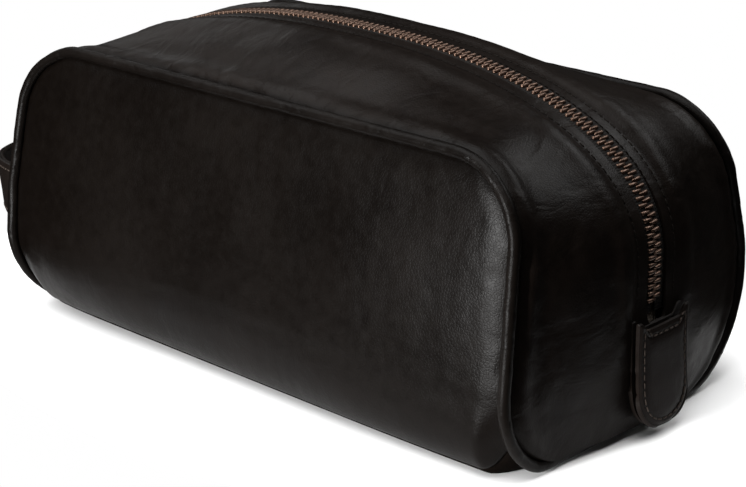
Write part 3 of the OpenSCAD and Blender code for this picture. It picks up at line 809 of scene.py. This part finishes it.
for side in (FRONT, BACK):
    name = SIDE_NAME[side]
    path = piping_path(side)
    wheel = 2 * np.pi * np.arange(PIPING_SIDES) / PIPING_SIDES
    around_x = path[:, None, 0] + np.cos(wheel) * PIPING_R
    around_y = path[:, None, 1] + np.sin(wheel) * PIPING_R
    field = np.stack(np.broadcast_arrays(around_x, around_y, path[:, None, 2] + 0 * wheel), -1)
    radius = PIPING_R - 0.35 + 0.09 * ripple(field, 5.0, side * 3.0) + 0.05 * ripple(field, 1.9, 1.0)
    radius = np.minimum(radius, PIPING_R)
    skin = tube(f"piping_{name}_leather", path, radius, M_PIPING, PIPING_SIDES, PIPING_BORE)
    on_half(skin, side, "piping_leather", "piping_" + name, "piping_foot_right", "piping_foot_left")
    core = tube(f"piping_{name}_cord", path[1:-1], CORD_R, M_CORD, 8)
    on_half(core, side, "piping_cord", "piping_core_" + name, "piping_core_right", "piping_core_left")

# ---- Zip ----

TAPE_T = 0.6
TAPE_EDGE_Y = 1.2                              # the tape's inner edge, under the teeth
TOOTH_BAR, TOOTH_FACES = lathe_bar([
    (-0.95, 0.25, 0.5), (-0.75, 0.5, 0.92), (-0.1, 0.6, 1.14), (0.8, 0.62, 1.2), (1.3, 0.78, 1.2),
    (2.7, 0.84, 1.2), (3.3, 0.78, 1.08), (3.5, 0.5, 0.75)], 12, 0.75)

# Where the slider runs, at the left end, the teeth stop short of the middle so its post passes between them
SLIDER_TRACK_Z = 58.5
PARTED_SCALE, PARTED_SHIFT = 0.62, 1.21


def zip_rise(z):
    """Over the top the chain lies less deep between the leather lips than it does at the ends."""
    return 1.1 * smoothstep(z, 68, 96)


def zip_places(offset):
    """Places along the zip's line, one pitch apart: (point, up)."""
    line = zip_outline(SPLIT_Z)
    line[:, 1] += zip_rise(line[:, 1])
    run = np.concatenate([[0], np.cumsum(np.linalg.norm(np.diff(line, axis=0), axis=1))])
    end = 2.0
    count = int((run[-1] - 2 * end) // PITCH) - 1
    places = []
    for k in range(count):
        s = end + PITCH * (k + 0.5 + offset)
        p = [np.interp(s, run, line[:, i]) for i in (0, 1)]
        q = [np.interp(s + 0.5, run, line[:, i]) - np.interp(s - 0.5, run, line[:, i]) for i in (0, 1)]
        t = np.array([q[0], 0, q[1]]) / math.hypot(*q)
        up = np.array([t[2], 0, -t[0]])
        outwards = 1 if up @ (p[0], 0, p[1] - 40) > 0 else -1
        places.append((np.array([p[0], 0, p[1]]), up * outwards))
    return places


def tooth_axes(up, side):
    """Axes of a tooth: across the zip towards its tape, along the zip, and up."""
    across = np.array([0, side, 0.0])
    return np.stack([across, np.cross(up, across), up], 1)


for side in (FRONT, BACK):
    name = SIDE_NAME[side]
    g = Gusset(side, 200, SPLIT_Z - 0.5)
    y = np.array([TAPE_EDGE_Y, 2.6, 4.5, 7, 10, 13, TAPE_W])[None] + np.zeros((200, 1))
    over = g.at(y)
    n = normals(over, gusset_out(over))
    rise = zip_rise(over[..., 2]) * (1 - smoothstep(y, LIP_Y, 9.0))
    dip = LEATHER_T + 0.3 + 0.08 * ripple(over, 5.0, 2.0) - rise
    tape = sheet(f"zip_tape_{name}_cloth", over - n * dip[..., None], gusset_out(over), TAPE_T, M_TAPE, 0.3)
    on_half(tape, side, "zip_tape", "zip_tape_" + name, "zip_tape_end_left")
    places = []
    for p, up in zip_places(0.5 if side == BACK else 0.0):
        axes = tooth_axes(up, side)
        if p[0] < 0 and p[2] < SLIDER_TRACK_Z:
            p = p + axes[:, 0] * PARTED_SHIFT
            axes = axes * (PARTED_SCALE, 1, 1)
        places.append((p, axes))
    row = copies(f"zip_teeth_{name}_row", TOOTH_BAR, TOOTH_FACES, places, M_TEETH)
    on_half(row, side, "zip_metal", "zip_teeth_" + name, "zip_teeth_end_left")

for end, name in ((RIGHT, "right"), (LEFT, "left")):
    u, v = np.meshgrid(np.linspace(34, 43.2, 14), np.linspace(-14, 14, 30), indexing="ij")
    tail = np.stack([end * (ZIP_X - 1.3) + 0 * u, v, u], -1)
    tail[..., 0] += 0.15 * ripple(tail, 6.0, end)
    tail = sheet(f"zip_tail_{name}_cloth", tail, (end, 0, 0), TAPE_T, M_TAPE, 0.3)
    on_body(tail, "root", "zip_tape", "zip_tape_end_" + name)

# ---- End tabs ----

TAB_HALF, TAB_BOTTOM, TAB_TOP, TAB_T = 14.0, 5.0, 44.0, 1.7
TAB_X = ZIP_X + ZIP_RECESS + 0.5
NOTCH_FLAT, NOTCH_DEPTH = 8.5, 3.2
TAB_POWER = 2.35                                # 2 would make the lower end a half circle
STITCH_INSET = 2.4


def tab_edges(y, inset=0.0):
    """Lowest and highest points of the tab's outline at a distance y from its middle."""
    r = TAB_HALF - inset
    low = TAB_BOTTOM + TAB_HALF - r * np.maximum(0, 1 - np.abs(y / r) ** TAB_POWER) ** (1 / TAB_POWER)
    notch = NOTCH_DEPTH * (1 - smoothstep(np.abs(y), NOTCH_FLAT - inset * 0.5, NOTCH_FLAT + 4.2 - inset))
    return low, TAB_TOP - inset - notch


def tab_lean(y, z):
    """The lower end stands off the bag, and the sides curl back a little."""
    return 1.6 * smoothstep(26 - z, 0, 22) - 0.5 * (y / TAB_HALF) ** 2 + 0.25 * np.sin(z / 9.0)


def tab_layer(end, name, x0, outer):
    y = TAB_HALF * np.sin(np.linspace(-np.pi / 2, np.pi / 2, 54))
    low, high = tab_edges(y)
    share = np.linspace(0, 1, 70)
    share = 0.6 * share + 0.4 * (0.5 - 0.5 * np.cos(np.pi * share))
    z = low[None] + (high - low)[None] * share[:, None]
    yy = np.repeat(y[None], len(share), axis=0)
    flat = np.stack([0 * z, yy, z], -1)
    radial = np.where(z < TAB_BOTTOM + TAB_HALF, TAB_HALF - np.hypot(yy, z - TAB_BOTTOM - TAB_HALF),
                      TAB_HALF - np.abs(yy))
    edge = np.minimum(radial, high[None] - z)
    x = x0 + TAB_T * outer + tab_lean(yy, z)
    x = x + 0.12 * ripple(flat, 9.0, end * 2.0 + outer)
    if outer:
        x = x - 0.3 * np.exp(-((edge - STITCH_INSET) / 0.6) ** 2) - 0.5 * np.exp(-(edge / 0.7) ** 2)
        x = x + 0.3 * smoothstep(edge, 2.6, 6.0)
    grid = np.stack([end * x, yy, z], -1)
    return sheet(name, grid, (end, 0, 0), TAB_T - 0.12, M_TAB, 0.6)


def stitch_places(points, out, spacing):
    """Places along a path for stitches that lie on a surface facing out."""
    run = np.concatenate([[0], np.cumsum(np.linalg.norm(np.diff(points, axis=0), axis=1))])
    count = max(1, round(run[-1] / spacing))
    places = []
    for k in range(count):
        s = run[-1] * (k + 0.5) / count
        p = np.array([np.interp(s, run, points[:, i]) for i in range(3)])
        t = np.array([np.interp(s + 0.3, run, points[:, i]) - np.interp(s - 0.3, run, points[:, i])
                      for i in range(3)])
        t /= np.linalg.norm(t)
        up = np.asarray(out, float) - t * (t @ np.asarray(out, float))
        up /= np.linalg.norm(up)
        places.append((p, np.stack([t, np.cross(up, t), up], 1)))
    return places


def tab_stitch_path(end):
    """A closed line inside the edge of the tab, from one ear round the bottom to the other and back."""
    r = TAB_HALF - STITCH_INSET
    side_z = np.linspace(TAB_TOP - STITCH_INSET - 0.6, TAB_BOTTOM + TAB_HALF, 20)
    down = [(-r, z) for z in side_z]
    turn = [(-r * math.cos(a), float(tab_edges(np.array(-r * math.cos(a)), STITCH_INSET)[0]))
            for a in np.linspace(0, math.pi, 60)]
    up = [(r, z) for z in side_z[::-1]]
    notch_y = np.linspace(r, -r, 40)
    notch = [(y, float(tab_edges(np.array(y), STITCH_INSET)[1])) for y in notch_y]
    flat = np.array(down + turn + up + notch)
    x = TAB_X + 2 * TAB_T + tab_lean(flat[:, 0], flat[:, 1]) - 0.02
    return np.stack([end * x, flat[:, 0], flat[:, 1]], -1)


for end, name in ((RIGHT, "right"), (LEFT, "left")):
    layers = [tab_layer(end, f"tab_{name}_{kind}_leather", TAB_X + 0.06 + TAB_T * k, k)
              for k, kind in ((0, "inner"), (1, "outer"))]
    layers.append(copies(f"tab_{name}_stitches", STITCH_BAR * 0.95, STITCH_FACES,
                         stitch_places(tab_stitch_path(end), (end, 0, 0), 2.9), M_TAB_THREAD))
    for k, piece in enumerate(layers):
        if end == RIGHT:
            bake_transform(piece)
            nodes_for = (("tab_inner_right", "tab_anchor_right"),
                         ("tab_outer_right", "tab_anchor_right"), ())[k]
        else:
            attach(piece, "root")
            nodes_for = (("tab_inner_left",), ("tab_outer_left",), ())[k]
        if nodes_for:
            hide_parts(*nodes_for)

# ---- Carry strap across the left end ----

STRAP_X, STRAP_REACH, STRAP_BOW = 127.0, 61.0, 48.0
STRAP_T, STRAP_Z, STRAP_HALF = 1.5, 43.0, 11.0
STRAP_SAG = 7.0
STRAP_R = (STRAP_REACH ** 2 + STRAP_BOW ** 2) / (2 * STRAP_BOW)
STRAP_MID = STRAP_R - STRAP_BOW - STRAP_X


def strap_line(r, count=150, tuck=5.0):
    half = math.atan2(STRAP_REACH, STRAP_X + STRAP_MID) + tuck / STRAP_R
    a = np.linspace(-half, half, count)
    return np.stack([STRAP_MID - r * np.cos(a), r * np.sin(a)], -1), a


def strap_sag(a):
    """The strap hangs lowest in the middle of its bow."""
    share = np.clip(a / math.atan2(STRAP_REACH, STRAP_X + STRAP_MID), -1, 1)
    return STRAP_SAG * np.cos(share * np.pi / 2) ** 1.2


def strap_layer(name, r, outer):
    line, a = strap_line(r)
    z = STRAP_HALF * spaced(18, 0.7)
    grid = np.stack([np.repeat(line[:, None, 0], len(z), 1), np.repeat(line[:, None, 1], len(z), 1),
                     STRAP_Z - strap_sag(a)[:, None] + z[None]], -1)
    out = np.stack([-np.cos(a), np.sin(a), 0 * a], -1)[:, None] + np.zeros_like(grid)
    edge = STRAP_HALF - np.abs(z)[None] + 0 * grid[..., 0]
    depth = 0.25 * np.exp(-((edge - 2.2) / 0.6) ** 2) + 0.4 * np.exp(-(edge / 0.8) ** 2) if outer else 0.0
    wave = 0.12 * ripple(grid, 8.0, r) - depth
    return sheet(name, grid + out * wave[..., None], out, STRAP_T - 0.1, M_TAB, 0.6)


strap_pieces = [(strap_layer("strap_inner_leather", STRAP_R - 0.05, False), ("strap_inner",)),
                (strap_layer("strap_outer_leather", STRAP_R + STRAP_T, True), ("strap_outer",))]
line, a = strap_line(STRAP_R + STRAP_T - 0.1, tuck=-2.0)
places = []
for edge in (-1, 1):
    rail = np.stack([line[:, 0], line[:, 1], STRAP_Z - strap_sag(a) + edge * (STRAP_HALF - 2.2)], -1)
    for p, axes in stitch_places(rail, (-1, 0, 0), 3.0):
        out = np.array([p[0] - STRAP_MID, p[1], 0])
        out /= np.linalg.norm(out)
        places.append((p, np.stack([axes[:, 0], np.cross(out, axes[:, 0]), out], 1)))
strap_pieces.append((copies("strap_stitches", STITCH_BAR, STITCH_FACES, places, M_TAB_THREAD), ()))
for piece, stands_for in strap_pieces:
    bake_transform(piece)
    if stands_for:
        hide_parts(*stands_for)

# ---- Lining, seen when the bag is open ----

LINING_T = 0.5


def lining_sheet(name, grid, inwards, seed):
    loose = 0.5 + 0.55 * ripple(grid, 16, seed) + 0.18 * ripple(grid, 5, seed)
    grid = grid + normals(grid, inwards) * loose[..., None]
    return sheet(name, grid, inwards, LINING_T, M_LINING, 0.3)


for side in (FRONT, BACK):
    name = SIDE_NAME[side]
    c = spaced(70) * 0.992
    rows = wrap_rows(side, 4.2, None, z_low=SPLIT_Z + 1, counts=(16, 20, 0))
    rows = rows[rows[:, 1] > SPLIT_Z]
    grid = wrap_grid(side, rows, c, 3.2, LINING_D + 1.2)
    piece = lining_sheet(name + "_lining_cloth", grid, (0, -side, 0), side * 2.0)
    on_half(piece, side, "lining", name + "_lining")
    g = Gusset(side, 150, SPLIT_Z)
    first = TAPE_W + 1.5
    over = g.at(first + np.linspace(0, 1, 16)[None] * (g.wide - 2.4 - first)[:, None])
    n = normals(over, gusset_out(over))
    piece = lining_sheet(f"gusset_{name}_lining_cloth", over - n * (LINING_D + 0.9), -gusset_out(over),
                         side * 4.0)
    on_half(piece, side, "lining", "gusset_lining_" + name)

rows = []
for side in (FRONT, BACK):
    top = wrap_rows(side, 7, -90, z_low=0, counts=(2, 30, 22))
    top = top[top[:, 1] < SPLIT_Z + 4]
    depth = LINING_D + 1.0 + 2.4 * np.maximum(0, -np.sin(top[:, 2])) ** 6
    half = wrap_grid(side, top, spaced(70) * 0.985, 3, depth[:, None])
    rows.append(half if side == FRONT else half[::-1])
share = np.linspace(0, 1, 16)[1:-1, None, None]
between = rows[0][-1][None] * (1 - share) + rows[1][0][None] * share
grid = np.concatenate([rows[0], between, rows[1]])
inwards = np.array([0, 0, 45.0]) - grid
inwards[..., 0] = 0
on_body(lining_sheet("base_lining_cloth", grid, inwards, 8.0), "root", "lining", "base_lining")

for end, name in ((RIGHT, "right"), (LEFT, "left")):
    z = np.linspace(8, SPLIT_Z + 3, 24)
    c = spaced(40) * 0.97
    low, high = -seam_y(FRONT, z, EDGE_GAP), seam_y(BACK, z, EDGE_GAP)
    y = ((low + high) / 2)[:, None] + c[None] * ((high - low) / 2)[:, None]
    x = (half_len(z) - LINING_D - 1.2)[:, None] + end_bulge(z)[:, None] * (1 - c[None] ** 2)
    grid = np.stack([end * x, y, z[:, None] + 0 * c[None]], -1)
    on_body(lining_sheet(f"end_lining_{name}_cloth", grid, (-end, 0, 0), end * 6.0), "root", "lining",
            "end_lining_" + name)

# ---- Metal and board pieces kept from the CAD model ----

for name, material, width in (("slider_body", M_METAL, 0.25), ("puller_pin", M_METAL, 0.2),
                              ("zip_puller", M_METAL, 0.3), ("zip_top_stops", M_TEETH, 0.15),
                              ("zip_bottom_stop", M_TEETH, 0.25), ("base_board", M_BOARD, 0.4)):
    node = nodes[name]
    node.data.materials.clear()
    node.data.materials.append(material)
    bevel = node.modifiers.new("edges", "BEVEL")
    bevel.width = width * MM
    bevel.segments = 2
    bevel.angle_limit = math.radians(35)
    bevel.limit_method = "ANGLE"

# ---- Camera, light and floor ----

AZIMUTH, ELEVATION, ROLL = 42.567, 19.882, -0.344
DISTANCE = 804.5
AIM = Vector((11.024, -7.078, 40.878))
FOCAL_SHARE = 2178.2 / 746                     # focal length as a share of the picture's width

az, el, roll = (math.radians(v) for v in (AZIMUTH, ELEVATION, ROLL))
toward = Vector((math.sin(az) * math.cos(el), -math.cos(az) * math.cos(el), math.sin(el)))
level_right = (-toward).cross(Vector((0, 0, 1))).normalized()
level_up = level_right.cross(-toward).normalized()
cam_x = level_right * math.cos(roll) + level_up * math.sin(roll)
cam_y = -level_right * math.sin(roll) + level_up * math.cos(roll)
camera = bpy.data.objects.new("camera", bpy.data.cameras.new("camera"))
camera.data.sensor_width = 36.0
camera.data.lens = FOCAL_SHARE * camera.data.sensor_width
camera.data.clip_start, camera.data.clip_end = 0.01, 20
place = Matrix((cam_x, cam_y, toward)).transposed().to_4x4()
place.translation = (AIM + toward * DISTANCE) * MM
camera.matrix_world = place
bpy.context.scene.collection.objects.link(camera)
bpy.context.scene.camera = camera


def area_light(name, location, target, size, power):
    light = bpy.data.lights.new(name, "AREA")
    light.shape = "RECTANGLE"
    light.size, light.size_y = size
    light.energy = power
    obj = bpy.data.objects.new(name, light)
    obj.location = location
    aim = Vector(target) - Vector(location)
    obj.rotation_euler = aim.to_track_quat("-Z", "Y").to_euler()
    bpy.context.scene.collection.objects.link(obj)


area_light("behind", (-1.25, 0.6, 0.6), (0, 0, 0.08), (0.6, 0.5), 1.0)
area_light("sky", (0.35, 0.9, 0.95), (0.02, 0, 0.1), (1.0, 0.4), 7.0)
area_light("front", (-0.05, -1.3, 0.2), (0.1, -0.07, 0.06), (0.07, 0.5), 42.0)

sun = bpy.data.objects.new("overhead", bpy.data.lights.new("overhead", "SUN"))
sun.data.energy = 5.2
sun.data.angle = math.radians(70)
sun.rotation_euler = (math.radians(14), math.radians(-12), 0)
bpy.context.scene.collection.objects.link(sun)

# The floor is a small pale sheet on a white ground, so the leather mirrors little of it
FLOOR_X, FLOOR_Y = 0.195, 0.13
floor_mesh = bpy.data.meshes.new("floor")
rim = [(FLOOR_X * math.cos(t), FLOOR_Y * math.sin(t), 0) for t in np.linspace(0, 2 * math.pi, 129)[:-1]]
floor_mesh.from_pydata(rim, [], [tuple(range(len(rim)))])
floor = bpy.data.objects.new("floor", floor_mesh)
paper = Nodes("white_paper")
paper.set(Base_Color=(0.93, 0.93, 0.93, 1), Roughness=0.9, Specular_IOR_Level=0.1)
floor_mesh.materials.append(paper.mat)
bpy.context.scene.collection.objects.link(floor)
floor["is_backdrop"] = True

world = bpy.data.worlds.new("studio")
world.use_nodes = True
tree = world.node_tree
background = tree.nodes["Background"]
seen = tree.nodes.new("ShaderNodeBackground")
mix = tree.nodes.new("ShaderNodeMixShader")
path_kind = tree.nodes.new("ShaderNodeLightPath")
background.inputs["Color"].default_value = (0.5, 0.48, 0.46, 1)
background.inputs["Strength"].default_value = 0.05
seen.inputs["Color"].default_value = (1, 1, 1, 1)
tree.links.new(path_kind.outputs["Is Camera Ray"], mix.inputs["Fac"])
tree.links.new(background.outputs[0], mix.inputs[1])
tree.links.new(seen.outputs[0], mix.inputs[2])
tree.links.new(mix.outputs[0], tree.nodes["World Output"].inputs["Surface"])
bpy.context.scene.world = world
bpy.context.scene.view_settings.view_transform = "Standard"

# ---- Sizes: the bounds of all shown pieces but the floor ----

low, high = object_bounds()
